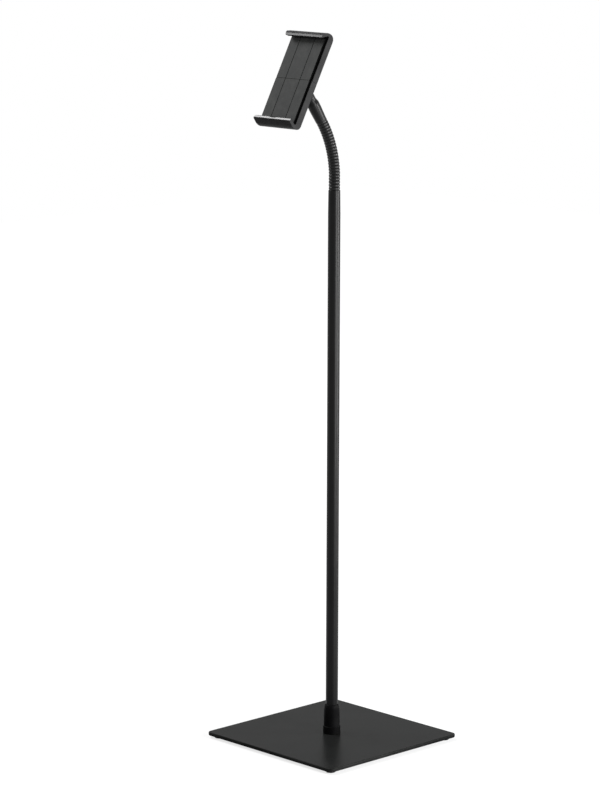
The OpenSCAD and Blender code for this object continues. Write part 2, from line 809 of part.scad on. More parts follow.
module spring_right() { spring(1); }

base_plate();
foot_front_left();
foot_front_right();
foot_back_left();
foot_back_right();
foot_screws();
base_bolt();
base_collar();
pole_sleeve();
pole();
pole_foot_plug();
neck_root();
for (i = [1:rib_count]) neck_rib(i);
neck_tip();
ferrule();
ball_stud();
ball_liner();
ball_socket();
socket_screws();
lock_ring();
lower_shell();
lower_face_plate();
lower_pad();
lower_grip();
lower_screws();
upper_shell();
upper_face_plate();
upper_pad();
upper_grip();
upper_screws();
slide_tongue();
tongue_screws();
spring_left();
spring_right();
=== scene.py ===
# Tablet floor stand: painted steel base and pole, ribbed flexible neck, moulded holder with rubber pads.
import json
import math

import bmesh
import bpy
from mathutils import Matrix, Vector
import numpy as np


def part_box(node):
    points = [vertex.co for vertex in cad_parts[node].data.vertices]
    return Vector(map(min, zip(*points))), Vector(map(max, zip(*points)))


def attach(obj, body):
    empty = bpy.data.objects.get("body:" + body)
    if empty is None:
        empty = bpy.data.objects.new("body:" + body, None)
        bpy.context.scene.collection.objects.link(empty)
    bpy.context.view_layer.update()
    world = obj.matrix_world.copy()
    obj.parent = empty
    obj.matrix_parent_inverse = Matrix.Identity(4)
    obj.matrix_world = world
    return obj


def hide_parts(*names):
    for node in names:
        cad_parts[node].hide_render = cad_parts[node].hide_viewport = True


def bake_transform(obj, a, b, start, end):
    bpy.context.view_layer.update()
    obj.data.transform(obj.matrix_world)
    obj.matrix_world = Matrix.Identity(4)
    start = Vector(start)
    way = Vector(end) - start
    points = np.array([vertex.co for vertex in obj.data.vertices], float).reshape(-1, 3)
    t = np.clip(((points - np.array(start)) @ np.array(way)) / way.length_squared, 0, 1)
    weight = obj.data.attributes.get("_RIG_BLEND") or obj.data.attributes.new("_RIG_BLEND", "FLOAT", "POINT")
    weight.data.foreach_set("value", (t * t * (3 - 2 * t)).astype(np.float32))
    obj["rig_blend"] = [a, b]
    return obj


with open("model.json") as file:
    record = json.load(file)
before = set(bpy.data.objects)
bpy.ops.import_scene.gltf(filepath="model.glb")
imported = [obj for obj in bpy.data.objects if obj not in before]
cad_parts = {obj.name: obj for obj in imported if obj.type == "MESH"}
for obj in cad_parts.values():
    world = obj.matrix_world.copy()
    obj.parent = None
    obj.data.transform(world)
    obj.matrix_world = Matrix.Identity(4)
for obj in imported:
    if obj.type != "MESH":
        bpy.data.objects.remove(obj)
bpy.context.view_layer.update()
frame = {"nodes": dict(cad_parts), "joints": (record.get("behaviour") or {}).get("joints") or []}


# Base plate: a square of thick steel with rounded corners, which gives the stand its weight.
# Its edges are ground round, then the whole plate is powder coated matt black with a fine texture.
MM = 0.001


def add_node(tree, kind, values=None, **settings):
    """Adds a node to a tree. A value of its inputs is a plain one or a socket of another node."""
    made = tree.nodes.new(kind)
    for name, value in settings.items():
        setattr(made, name, value)
    for name, value in (values or {}).items():
        if isinstance(value, bpy.types.NodeSocket):
            tree.links.new(value, made.inputs[name])
        else:
            made.inputs[name].default_value = value
    return made


def worked_out(tree, operation, *values):
    """The result of an arithmetic node on sockets or plain numbers."""
    return add_node(tree, "ShaderNodeMath", dict(enumerate(values)), operation=operation).outputs["Value"]


def shader_group(name, inputs, outputs):
    """An empty shader node group with float sockets, and its two end nodes."""
    group = bpy.data.node_groups.new(name, "ShaderNodeTree")
    for socket in inputs:
        group.interface.new_socket(socket, in_out="INPUT", socket_type="NodeSocketFloat")
    for socket in outputs:
        group.interface.new_socket(socket, in_out="OUTPUT", socket_type="NodeSocketFloat")
    return group, group.nodes.new("NodeGroupInput"), group.nodes.new("NodeGroupOutput")


# Fine grain of a moulded or sprayed surface, and the slow clouds in its gloss
surface_grain, grain_in, grain_out = shader_group(
    "surface_grain", ["Grain Scale", "Cloud Scale", "Stretch"], ["Grain", "Clouds"])
place = add_node(surface_grain, "ShaderNodeTexCoord")
stretch = add_node(surface_grain, "ShaderNodeCombineXYZ", {
    "X": 1.0, "Y": 1.0, "Z": grain_in.outputs["Stretch"]})
drawn_out = add_node(surface_grain, "ShaderNodeVectorMath", {
    0: place.outputs["Object"], 1: stretch.outputs["Vector"]}, operation="MULTIPLY")
fine = add_node(surface_grain, "ShaderNodeTexNoise", {
    "Vector": drawn_out.outputs["Vector"], "Scale": grain_in.outputs["Grain Scale"],
    "Detail": 3.0, "Roughness": 0.6})
broad = add_node(surface_grain, "ShaderNodeTexNoise", {
    "Vector": place.outputs["Object"], "Scale": grain_in.outputs["Cloud Scale"],
    "Detail": 4.0, "Roughness": 0.55})
spread = add_node(surface_grain, "ShaderNodeMapRange", {
    "Value": broad.outputs["Fac"], "From Min": 0.32, "From Max": 0.68})
surface_grain.links.new(fine.outputs["Fac"], grain_out.inputs["Grain"])
surface_grain.links.new(spread.outputs["Result"], grain_out.inputs["Clouds"])

# Rubbed edges: where the piece's own edge attribute is high, broken up by a patchy noise
rubbed_edge, rub_in, rub_out = shader_group("rubbed_edge", ["Amount", "Patch Scale"], ["Rub"])
edge_value = add_node(rubbed_edge, "ShaderNodeAttribute", attribute_name="edge")
patch_place = add_node(rubbed_edge, "ShaderNodeTexCoord")
patches = add_node(rubbed_edge, "ShaderNodeTexNoise", {
    "Vector": patch_place.outputs["Object"], "Scale": rub_in.outputs["Patch Scale"], "Detail": 3.0})
patch_range = add_node(rubbed_edge, "ShaderNodeMapRange", {
    "Value": patches.outputs["Fac"], "From Min": 0.4, "From Max": 0.65})
on_edges = worked_out(rubbed_edge, "MULTIPLY", edge_value.outputs["Fac"], patch_range.outputs["Result"])
rub_amount = worked_out(rubbed_edge, "MULTIPLY", on_edges, rub_in.outputs["Amount"])
rubbed_edge.links.new(rub_amount, rub_out.inputs["Rub"])


def blend_colours(tree, factor, first, second):
    """Mixes two colours, each a plain colour or a socket, and returns the socket of the mix."""
    made = add_node(tree, "ShaderNodeMix", data_type="RGBA")
    for socket, value in zip([socket for socket in made.inputs if socket.enabled], (factor, first, second)):
        if isinstance(value, tuple):
            socket.default_value = (*value, 1)
        else:
            tree.links.new(value, socket)
    return next(socket for socket in made.outputs if socket.enabled)


def surface(name, dark, light, rough, grain_size, cloud_size, relief, rub=0.0, rubbed=0.2, stretch=1.0,
            metal=0.0, specular=0.5):
    """A finish with clouds of two near colours, a gloss that follows them, a fine relief and rubbed edges.
    Sizes and relief are in metres, rough is the smoothest and the roughest gloss, rubbed a grey."""
    material = bpy.data.materials.new(name)
    material.use_nodes = True
    tree = material.node_tree
    shader = tree.nodes["Principled BSDF"]
    shader.inputs["Metallic"].default_value = metal
    shader.inputs["Specular IOR Level"].default_value = specular
    grain = add_node(tree, "ShaderNodeGroup", {
        "Grain Scale": 1/grain_size, "Cloud Scale": 1/cloud_size, "Stretch": stretch,
    }, node_tree=surface_grain)
    edge = add_node(tree, "ShaderNodeGroup", {
        "Amount": rub, "Patch Scale": 1/cloud_size,
    }, node_tree=rubbed_edge)
    colour = blend_colours(tree, grain.outputs["Clouds"], dark, light)
    worn = blend_colours(tree, edge.outputs["Rub"], colour, (rubbed, rubbed, rubbed))
    gloss = add_node(tree, "ShaderNodeMapRange", {
        "Value": grain.outputs["Clouds"], "To Min": rough[0], "To Max": rough[1]})
    bump = add_node(tree, "ShaderNodeBump", {
        "Height": grain.outputs["Grain"], "Strength": 0.6, "Distance": relief})
    tree.links.new(worn, shader.inputs["Base Color"])
    tree.links.new(gloss.outputs["Result"], shader.inputs["Roughness"])
    tree.links.new(bump.outputs["Normal"], shader.inputs["Normal"])
    return material


def make_plain(piece):
    """Turns what the modifiers make into the piece's own plain mesh."""
    shown = piece.evaluated_get(bpy.context.evaluated_depsgraph_get())
    mesh = bpy.data.meshes.new_from_object(shown)
    piece.modifiers.clear()
    piece.data = mesh


def smooth_piece(name, bm):
    """A piece with smooth faces in the scene, from a mesh that is then freed."""
    mesh = bpy.data.meshes.new(name)
    bm.to_mesh(mesh)
    bm.free()
    for face in mesh.polygons:
        face.use_smooth = True
    piece = bpy.data.objects.new(name, mesh)
    bpy.context.scene.collection.objects.link(piece)
    return piece


def keep_flats(piece):
    """Keeps the flat faces of a smooth piece flat."""
    piece.modifiers.new("flat_faces", "WEIGHTED_NORMAL")
    make_plain(piece)


def put_on(piece, body, slot, *nodes):
    """Puts a piece on its body, in place of its CAD nodes."""
    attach(piece, body)
    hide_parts(*nodes)


def fit_piece(name, bm, finish, body, slot, *nodes):
    """Makes the finished piece of a mesh and puts it on its body."""
    piece = smooth_piece(name, bm)
    piece.data.materials.append(finish)
    keep_flats(piece)
    put_on(piece, body, slot, *nodes)
    return piece


weld_gap = 0.002*MM


def welded_copy(node):
    """A copy of a CAD node's mesh with its loose triangles joined."""
    bm = bmesh.new()
    bm.from_mesh(frame["nodes"][node].data)
    bmesh.ops.remove_doubles(bm, verts=bm.verts, dist=weld_gap)
    return bm


def merged_copy(node):
    """A welded copy of a CAD node with its flat faces made whole, ready for edge values."""
    flat_within = math.radians(0.5)
    bm = welded_copy(node)
    bmesh.ops.dissolve_limit(bm, angle_limit=flat_within, verts=bm.verts, edges=bm.edges)
    bm.verts.layers.float.new("edge")
    return bm


base_paint = surface("base_powder_coat", dark=(0.007, 0.0073, 0.0072), light=(0.010, 0.0104, 0.0102),
                     rough=(0.28, 0.34), grain_size=0.6*MM, cloud_size=60*MM, relief=0.02*MM,
                     rub=0.35, rubbed=0.03, specular=0.015)
plate_low, plate_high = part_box("base_plate")
face_margin = 0.1*MM
plate = merged_copy("base_plate")
plate_edge = plate.verts.layers.float["edge"]
for vertex in plate.verts:
    vertex[plate_edge] = float(plate_low.z + face_margin < vertex.co.z < plate_high.z - face_margin)
fit_piece("base_plate_coated", plate, base_paint, "stand", "base_paint", "base_plate")


# Feet: four round rubber bumpers under the plate's corners, moulded with a rounded tread edge.
# Each is held by a pan-head screw in the recess of its underside.
pinpoint = 0.001*MM
broken_edge = 0.3*MM


def softened(outline, radius=broken_edge, steps=4, closed=True):
    """The outline with its corners rounded, as points with an edge value of 1 on the roundings.
    A corner may carry its own radius as a third number."""
    sharpest_half = 0.05
    side_share = 0.45
    points = []
    for i, corner in enumerate(outline):
        here = Vector(corner[:2])
        if not closed and i in (0, len(outline) - 1):
            points.append((*here, 0.0))
            continue
        before = Vector(outline[i - 1][:2]) - here
        after = Vector(outline[(i + 1) % len(outline)][:2]) - here
        own = corner[2] if len(corner) > 2 else radius
        half_angle = max(before.angle(after)/2, sharpest_half)
        reach = min(own/math.tan(half_angle), side_share*before.length, side_share*after.length)
        if reach < pinpoint:
            points.append((*here, 0.0))
            continue
        start = here + reach*before.normalized()
        end = here + reach*after.normalized()
        for step in range(steps + 1):
            share = step/steps
            point = (1 - share)**2*start + 2*share*(1 - share)*here + share*share*end
            points.append((*point, float(0 < step < steps)))
    return points


def turned(profile, place=Matrix(), sides=96, closed=True):
    """A turned mesh: radius and height points spun about the Z axis, then put in place."""
    bm = bmesh.new()
    edge = bm.verts.layers.float.new("edge")
    rings = []
    for radius, height, rub in profile:
        count = sides if radius > pinpoint else 1
        ring = [bm.verts.new((radius*math.cos(math.tau*i/sides), radius*math.sin(math.tau*i/sides), height))
                for i in range(count)]
        for vertex in ring:
            vertex[edge] = rub
        rings.append(ring)
    pairs = list(zip(rings, rings[1:] + rings[:1]))
    for low, high in pairs if closed else pairs[:-1]:
        for i in range(sides):
            after = i + 1
            corners = list(dict.fromkeys([low[i % len(low)], low[after % len(low)],
                                          high[after % len(high)], high[i % len(high)]]))
            if len(corners) > 2:
                bm.faces.new(corners)
    bmesh.ops.recalc_face_normals(bm, faces=bm.faces)
    bm.transform(place)
    return bm


def geometry_tree(name, inputs):
    """A Geometry Nodes tree with named inputs, and its two end nodes."""
    tree = bpy.data.node_groups.new(name, "GeometryNodeTree")
    tree.interface.new_socket("Geometry", in_out="INPUT", socket_type="NodeSocketGeometry")
    for socket, kind in inputs.items():
        tree.interface.new_socket(socket, in_out="INPUT", socket_type="NodeSocket" + kind)
    tree.interface.new_socket("Geometry", in_out="OUTPUT", socket_type="NodeSocketGeometry")
    return tree, tree.nodes.new("NodeGroupInput"), tree.nodes.new("NodeGroupOutput")


def grow(name, tree, start_mesh, values):
    """Runs a Geometry Nodes tree on a mesh with the given input values and returns the plain result."""
    piece = bpy.data.objects.new(name, start_mesh)
    bpy.context.scene.collection.objects.link(piece)
    nodes = piece.modifiers.new("grow", "NODES")
    nodes.node_group = tree
    sockets = {item.name: item.identifier for item in tree.interface.items_tree if item.in_out == "INPUT"}
    for socket, value in values.items():
        nodes[sockets[socket]] = value
    make_plain(piece)
    return piece


def points_mesh(name, places):
    """A mesh of loose points."""
    mesh = bpy.data.meshes.new(name)
    mesh.from_pydata([tuple(place) for place in places], [], [])
    return mesh


def copies_at(tree, start, piece):
    """Copies of a piece at every point of a tree's geometry, with their Z axis along its direction."""
    turn = add_node(tree, "FunctionNodeAlignRotationToVector", {
        "Vector": start.outputs["Direction"]}, axis="Z")
    copies = add_node(tree, "GeometryNodeInstanceOnPoints", {
        "Points": start.outputs["Geometry"], "Instance": piece, "Rotation": turn.outputs["Rotation"]})
    return copies.outputs["Instances"]


def end_tree(tree, start, geometry, end):
    """Ends a tree: makes its copies real and gives them its finish."""
    realize = add_node(tree, "GeometryNodeRealizeInstances", {"Geometry": geometry})
    coat = add_node(tree, "GeometryNodeSetMaterial", {
        "Geometry": realize.outputs["Geometry"], "Material": start.outputs["Finish"]})
    tree.links.new(coat.outputs["Geometry"], end.inputs["Geometry"])


# Places one made piece at every point, with its own Z axis along the given direction
set_in_place, set_in, set_out = geometry_tree(
    "set_in_place", {"Piece": "Object", "Direction": "Vector", "Finish": "Material"})
piece_info = add_node(set_in_place, "GeometryNodeObjectInfo", {"Object": set_in.outputs["Piece"]})
piece_copies = copies_at(set_in_place, set_in, piece_info.outputs["Geometry"])
end_tree(set_in_place, set_in, piece_copies, set_out)


def make_pattern(name, bm):
    """A made piece that only serves as the pattern for others and isn't shown itself."""
    pattern = smooth_piece(name, bm)
    keep_flats(pattern)
    return pattern


def drop(pattern):
    """Takes a pattern out of the scene once its copies are made."""
    bpy.data.objects.remove(pattern)


foot_rubber = surface("foot_rubber", dark=(0.008, 0.008, 0.008), light=(0.013, 0.013, 0.013),
                      rough=(0.7, 0.85), grain_size=0.4*MM, cloud_size=8*MM, relief=0.04*MM, specular=0.1)
foot_nodes = [f"foot_{end}_{side}" for end in ("front", "back") for side in ("left", "right")]
foot_boxes = [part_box(name) for name in foot_nodes]
foot_radius = (foot_boxes[0][1].x - foot_boxes[0][0].x)/2
foot_height = foot_boxes[0][1].z
foot_hole = 2.05*MM
foot_recess = 5*MM
foot_recess_height = 2*MM
foot_tread = 1.5*MM
rounded_mouth = 0.4*MM
crisp_edge = 0.1*MM
foot_outline = [(foot_hole, foot_recess_height, crisp_edge), (foot_recess, foot_recess_height),
                (foot_recess, 0, rounded_mouth), (foot_radius, 0, foot_tread), (foot_radius, foot_height),
                (foot_hole, foot_height, crisp_edge)]
foot = make_pattern("foot_pattern", turned(softened(foot_outline, steps=6), sides=64))
foot_places = [((low.x + high.x)/2, (low.y + high.y)/2, 0) for low, high in foot_boxes]
feet = grow("rubber_feet", set_in_place, points_mesh("foot_places", foot_places),
            {"Piece": foot, "Direction": (0, 0, 1), "Finish": foot_rubber})
drop(foot)
put_on(feet, "stand", "foot_rubber", *foot_nodes)


# Screws of the feet: zinc-plated steel with a pan head and a cross recess, one through each foot.
# The same kind of screw, smaller, holds the holder together further up.
screws_tree, screw_in, screw_out = geometry_tree("cross_head_screws", {
    "Head Radius": "Float", "Head Height": "Float", "Shank Radius": "Float", "Length": "Float",
    "Recess Width": "Float", "Direction": "Vector", "Finish": "Material"})


def moved_down(geometry, depth):
    """The geometry moved along -Z by a size."""
    shift = add_node(screws_tree, "ShaderNodeCombineXYZ", {
        "Z": worked_out(screws_tree, "MULTIPLY", depth, -1.0)})
    made = add_node(screws_tree, "GeometryNodeTransform", {
        "Geometry": geometry, "Translation": shift.outputs["Vector"]})
    return made.outputs["Geometry"]


def screw_cylinder(radius, depth):
    """A round bar whose top face lies at zero."""
    made = add_node(screws_tree, "GeometryNodeMeshCylinder", {
        "Vertices": 32, "Radius": radius, "Depth": depth})
    return moved_down(made.outputs["Mesh"], worked_out(screws_tree, "MULTIPLY", depth, 0.5))


def recess_bar(long_side, short_side):
    """One bar of the cross recess, lying across the head's top."""
    length_share = 1.1
    depth_share = 1.3
    size = add_node(screws_tree, "ShaderNodeCombineXYZ", {
        long_side: worked_out(screws_tree, "MULTIPLY", screw_in.outputs["Head Radius"], length_share),
        short_side: screw_in.outputs["Recess Width"],
        "Z": worked_out(screws_tree, "MULTIPLY", screw_in.outputs["Head Height"], depth_share)})
    return add_node(screws_tree, "GeometryNodeMeshCube", {"Size": size.outputs["Vector"]}).outputs["Mesh"]


screw_head = screw_cylinder(screw_in.outputs["Head Radius"], screw_in.outputs["Head Height"])
cross_cut = add_node(screws_tree, "GeometryNodeMeshBoolean", {"Mesh 1": screw_head}, operation="DIFFERENCE")
screws_tree.links.new(recess_bar("X", "Y"), cross_cut.inputs["Mesh 2"])
screws_tree.links.new(recess_bar("Y", "X"), cross_cut.inputs["Mesh 2"])
below_head = worked_out(screws_tree, "SUBTRACT",
                        screw_in.outputs["Length"], screw_in.outputs["Head Height"])
screw_shank = screw_cylinder(screw_in.outputs["Shank Radius"], below_head)
whole_screw = add_node(screws_tree, "GeometryNodeJoinGeometry", {
    "Geometry": moved_down(screw_shank, screw_in.outputs["Head Height"])})
screws_tree.links.new(cross_cut.outputs["Mesh"], whole_screw.inputs["Geometry"])
screw_copies = copies_at(screws_tree, screw_in, whole_screw.outputs["Geometry"])
end_tree(screws_tree, screw_in, screw_copies, screw_out)


def solids_of(node):
    """The corner points of each separate solid in a CAD node."""
    bm = welded_copy(node)
    reached = set()
    solids = []
    for first in bm.verts:
        if first in reached:
            continue
        reached.add(first)
        joined = [first]
        for vertex in joined:
            for line in vertex.link_edges:
                other = line.other_vert(vertex)
                if other not in reached:
                    reached.add(other)
                    joined.append(other)
        solids.append([vertex.co.copy() for vertex in joined])
    bm.free()
    return solids


def foot_and_length(points, axis):
    """The foot of a solid's centre line along a direction, and its length."""
    heights = [point.dot(axis) for point in points]
    middle = sum(points, Vector())/len(points)
    return middle + (min(heights) - middle.dot(axis))*axis, max(heights) - min(heights)


def off_line(point, origin, direction):
    """How far a point lies from a line."""
    return (point - origin).cross(direction).length


screw_steel = surface("zinc_plated_steel", dark=(0.34, 0.35, 0.36), light=(0.46, 0.47, 0.48),
                      rough=(0.28, 0.42), grain_size=0.3*MM, cloud_size=5*MM, relief=0.01*MM, metal=1.0)


def fit_screws(name, node, direction, shank_radius, head_height, body):
    """Cross-head screws in place of a node's plain ones, which are all alike: their heads lie where the
    direction points."""
    recess_share = 0.3
    head_rounding = 0.08*MM
    direction = Vector(direction).normalized()
    heads = []
    for points in solids_of(node):
        end, length = foot_and_length(points, direction)
        radius = max(off_line(point, end, direction) for point in points)
        heads.append(end + length*direction)
    screws = grow(name, screws_tree, points_mesh(name + "_places", heads), {
        "Head Radius": radius, "Head Height": head_height, "Shank Radius": shank_radius, "Length": length,
        "Recess Width": recess_share*radius, "Direction": direction, "Finish": screw_steel})
    rounding = screws.modifiers.new("rounding", "BEVEL")
    rounding.width = head_rounding
    rounding.limit_method = "ANGLE"
    make_plain(screws)
    put_on(screws, body, "fastener_steel", node)


foot_screw_shank = 2*MM
foot_screw_head = 1.5*MM
fit_screws("foot_screws_zinc", "foot_screws", (0, 0, -1), foot_screw_shank, foot_screw_head, "stand")


# Bolt and plug of the pole: a countersunk bolt comes up through the plate into a threaded steel plug.
# The plug is pressed into the pole's foot; only the bolt's head shows, from below.
def keep_node(node, finish):
    """Keeps a CAD node as it is and gives it a finish."""
    materials = frame["nodes"][node].data.materials
    materials.clear()
    materials.append(finish)


bright_steel = surface("turned_steel", dark=(0.4, 0.41, 0.42), light=(0.5, 0.51, 0.52),
                       rough=(0.25, 0.4), grain_size=0.5*MM, cloud_size=12*MM, relief=0.01*MM, metal=1.0)
keep_node("base_bolt", bright_steel)
keep_node("pole_foot_plug", bright_steel)


# Collar: a turned steel ring that centres the pole on the plate, painted a duller black than the pole.
# Its top edge is chamfered, and the chamfer is rubbed a little by the sleeve that sits on it.
collar_paint = surface("collar_matt_paint", dark=(0.002, 0.002, 0.0021), light=(0.003, 0.003, 0.0031),
                       rough=(0.45, 0.55), grain_size=0.5*MM, cloud_size=20*MM, relief=0.012*MM,
                       rub=0.4, rubbed=0.02, specular=0.02)
pole_low, pole_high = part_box("pole")
pole_radius = pole_high.x
fit_gap = 0.05*MM
collar_low, collar_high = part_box("base_collar")
collar_radius = collar_high.x
chamfer = 0.8*MM
collar_edge = 0.25*MM
collar_outline = [(pole_radius + fit_gap, collar_low.z), (collar_radius, collar_low.z),
                  (collar_radius, collar_high.z - chamfer), (collar_radius - chamfer, collar_high.z),
                  (pole_radius + fit_gap, collar_high.z)]
fit_piece("collar_painted", turned(softened(collar_outline, collar_edge)), collar_paint, "stand",
          "tube_paint", "base_collar")


# Sleeve: a moulded plastic cover round the foot of the pole, tapered so that it leaves its mould.
# It slides down the pole, stands on the collar and ends in a rounded shoulder.
sleeve_plastic = surface("sleeve_plastic", dark=(0.0022, 0.0022, 0.0024), light=(0.0034, 0.0034, 0.0036),
                         rough=(0.42, 0.5), grain_size=0.4*MM, cloud_size=30*MM, relief=0.015*MM,
                         rub=0.3, rubbed=0.02, specular=0.028)
sleeve_low, sleeve_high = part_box("pole_sleeve")
sleeve_radius = sleeve_high.x
sleeve_taper = 0.35*MM
sleeve_shoulder = 10*MM
sleeve_lip = 0.5*MM
sleeve_edge = 0.2*MM
sleeve_edge_rub = 0.5
sleeve_bore = pole_radius + fit_gap
shoulder_rise = sleeve_radius - sleeve_taper - sleeve_bore - sleeve_lip
shoulder_steps = 16
sleeve_profile = [(sleeve_bore, sleeve_low.z, 0.0),
                  (sleeve_radius - sleeve_edge, sleeve_low.z, sleeve_edge_rub),
                  (sleeve_radius, sleeve_low.z + sleeve_edge, sleeve_edge_rub)]
for step in range(shoulder_steps + 1):
    angle = math.pi/2*step/shoulder_steps
    sleeve_profile.append((sleeve_bore + sleeve_lip + shoulder_rise*math.cos(angle),
                           sleeve_high.z - sleeve_shoulder*(1 - math.sin(angle)), 0.0))
sleeve_profile.append((sleeve_bore, sleeve_high.z, 0.0))
fit_piece("sleeve_moulded", turned(sleeve_profile), sleeve_plastic, "stand", "sleeve_plastic",
          "pole_sleeve")


# Pole: one welded steel tube, powder coated satin black, swaged slightly narrower at its top.
# Its foot stands on the plate inside the collar, and the neck's plug is pressed into its top.
tube_paint = surface("pole_satin_paint", dark=(0.0028, 0.0028, 0.003), light=(0.004, 0.004, 0.0042),
                     rough=(0.32, 0.38), grain_size=0.5*MM, cloud_size=40*MM, relief=0.002*MM,
                     rub=0.4, rubbed=0.02, specular=0.12)
pole_wall = 1.2*MM
swage_length = 42*MM
swage_depth = 0.5*MM
swage_radius = 20*MM
swage = pole_high.z - swage_length
pole_bore = pole_radius - pole_wall
pole_outline = [(pole_bore, pole_low.z), (pole_radius, pole_low.z), (pole_radius, swage, swage_radius),
                (pole_radius - swage_depth, pole_high.z), (pole_bore - swage_depth, pole_high.z),
                (pole_bore, swage)]
fit_piece("pole_painted", turned(softened(pole_outline)), tube_paint, "stand", "tube_paint", "pole")


# Neck: a flexible arm of steel rings under a black coating, which stays where it is bent.
# Each ring is hollow below and domed above, and turns on the ring under it. A plug ends the arm in the
# pole, and another one in the ferrule.
neck_coating = surface("neck_coating", dark=(0.0026, 0.0026, 0.0027), light=(0.004, 0.004, 0.0041),
                       rough=(0.3, 0.36), grain_size=0.4*MM, cloud_size=15*MM, relief=0.002*MM,
                       specular=0.18)
keep_node("neck_root", neck_coating)
keep_node("neck_tip", neck_coating)
joints = {joint["name"]: joint for joint in frame["joints"]}
neck_joints = [joint for joint in frame["joints"] if joint["name"].startswith("neck_")]
hinges = [Vector(joint["pos_m"]) for joint in neck_joints]
stem_axis = Vector(joints["stem_swivel"]["axis"])
neck_axes = [(after - here).normalized() for here, after in zip(hinges, hinges[1:])]
rib_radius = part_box("neck_rib_01")[1].x
rib_pitch = (hinges[1] - hinges[0]).length
rib_groove = 0.72*MM
rib_bore = 4.5*MM
seat_radius = 14*MM
seat_gap = 0.3*MM
rib_steps = 12


def on_ball(radius, across, centre=0.0):
    """A point of a ball face at a distance from the axis."""
    return (across, centre + math.sqrt(radius*radius - across*across))


valley = rib_radius - rib_groove
rib_foot = on_ball(seat_radius + seat_gap, valley)
rib_head = on_ball(seat_radius, valley, rib_pitch)
rib_half = (rib_head[1] - rib_foot[1])/2
bulge = (rib_half**2 + rib_groove**2)/(2*rib_groove)
bulge_angle = math.asin(rib_half/bulge)
rib_profile = []
for step in range(rib_steps + 1):
    angle = bulge_angle*(2*step/rib_steps - 1)
    rib_profile.append((rib_radius - bulge + bulge*math.cos(angle),
                        rib_foot[1] + rib_half + bulge*math.sin(angle), 0.0))
for step in range(1, rib_steps + 1):
    across = valley + (rib_bore - valley)*step/rib_steps
    rib_profile.append((*on_ball(seat_radius, across, rib_pitch), 0.0))
for step in range(rib_steps):
    across = rib_bore + (valley - rib_bore)*step/rib_steps
    rib_profile.append((*on_ball(seat_radius + seat_gap, across), 0.0))
rib = make_pattern("rib_pattern", turned(rib_profile, sides=72))
for number, (hinge, axis) in enumerate(zip(hinges[:-1], neck_axes), 1):
    ring = grow(f"neck_ring_{number:02d}", set_in_place, points_mesh(f"neck_place_{number:02d}", [hinge]),
                {"Piece": rib, "Direction": axis, "Finish": neck_coating})
    put_on(ring, f"neck_link_{number:02d}", "neck_coating", f"neck_rib_{number:02d}")
drop(rib)


# Ferrule: a smooth steel tube over the end of the neck, swaged down to the neck at its foot.
# A shoulder draws its top in to a narrower neck, where the ball's stud turns; it is painted like the pole.
def along(axis, origin):
    """The place of a piece whose own Z axis lies along a direction, from a point."""
    return Matrix.Translation(origin) @ Vector((0, 0, 1)).rotation_difference(axis).to_matrix().to_4x4()


def reach_along(node, axis, origin):
    """Where a CAD node starts and ends along a direction, measured from a point."""
    heights = [(point - origin).dot(axis) for point in solids_of(node)[0]]
    return min(heights), max(heights)


neck_end = along(stem_axis, hinges[-1])
ferrule_end = reach_along("ferrule", stem_axis, hinges[-1])[1]
ferrule_foot = 10.1*MM
ferrule_body = 10.85*MM
ferrule_neck = 8.75*MM
ferrule_neck_length = 11*MM
ferrule_mouth = 3*MM
ferrule_swage = 22*MM
ferrule_shoulder = 4.3*MM
ferrule_blend = 3*MM
ferrule_bore = 8.7*MM
mouth_radius = 6*MM
shoulder_radius = 8*MM
shank_bore = 5.08*MM
shank_length = 27*MM
stud_play = 0.3*MM
neck_foot = ferrule_end - ferrule_neck_length
bore_end = ferrule_end - shank_length - stud_play
ferrule_outline = [(*on_ball(seat_radius + seat_gap, ferrule_foot), rounded_mouth),
                   (ferrule_foot, rib_foot[1] + ferrule_mouth, mouth_radius),
                   (ferrule_body, rib_foot[1] + ferrule_swage, swage_radius),
                   (ferrule_body, neck_foot - ferrule_shoulder, shoulder_radius),
                   (ferrule_neck, neck_foot + ferrule_blend, shoulder_radius),
                   (ferrule_neck, ferrule_end), (shank_bore, ferrule_end, crisp_edge),
                   (shank_bore, bore_end, crisp_edge), (ferrule_bore, bore_end, crisp_edge),
                   (*on_ball(seat_radius + seat_gap, ferrule_bore), crisp_edge)]
fit_piece("ferrule_painted", turned(softened(ferrule_outline, steps=8), neck_end), tube_paint,
          "neck_end", "tube_paint", "ferrule")


# Stud and ball: turned from one steel bar and blackened. The shank turns in the ferrule,
# the cone gives the socket room to swing, and the ball sits in a nylon liner.
ball_centre = Vector(joints["holder_tilt"]["pos_m"])
ball_height = (ball_centre - hinges[-1]).dot(stem_axis)
ball_radius = 10*MM
ball_neck = 4*MM
stud_cone = 9*MM
shank_radius = 5*MM
stud_foot = ferrule_end + stud_play
black_steel = surface("blackened_steel", dark=(0.006, 0.006, 0.0065), light=(0.010, 0.010, 0.0105),
                      rough=(0.28, 0.38), grain_size=0.5*MM, cloud_size=10*MM, relief=0.01*MM,
                      rub=0.5, rubbed=0.06, specular=0.2)
stud_outline = [(0, ferrule_end - shank_length), (shank_radius, ferrule_end - shank_length),
                (shank_radius, stud_foot, crisp_edge), (ferrule_neck, stud_foot),
                (ball_neck, stud_foot + stud_cone)]
stud_profile = softened(stud_outline, closed=False)
ball_steps = 28
ball_start = math.asin(ball_neck/ball_radius)
for step in range(ball_steps + 1):
    angle = ball_start + (math.pi - ball_start)*step/ball_steps
    stud_profile.append((ball_radius*math.sin(angle), ball_height - ball_radius*math.cos(angle), 0.0))
fit_piece("stud_and_ball", turned(stud_profile, neck_end, closed=False), black_steel, "ball", "tube_paint",
          "ball_stud")


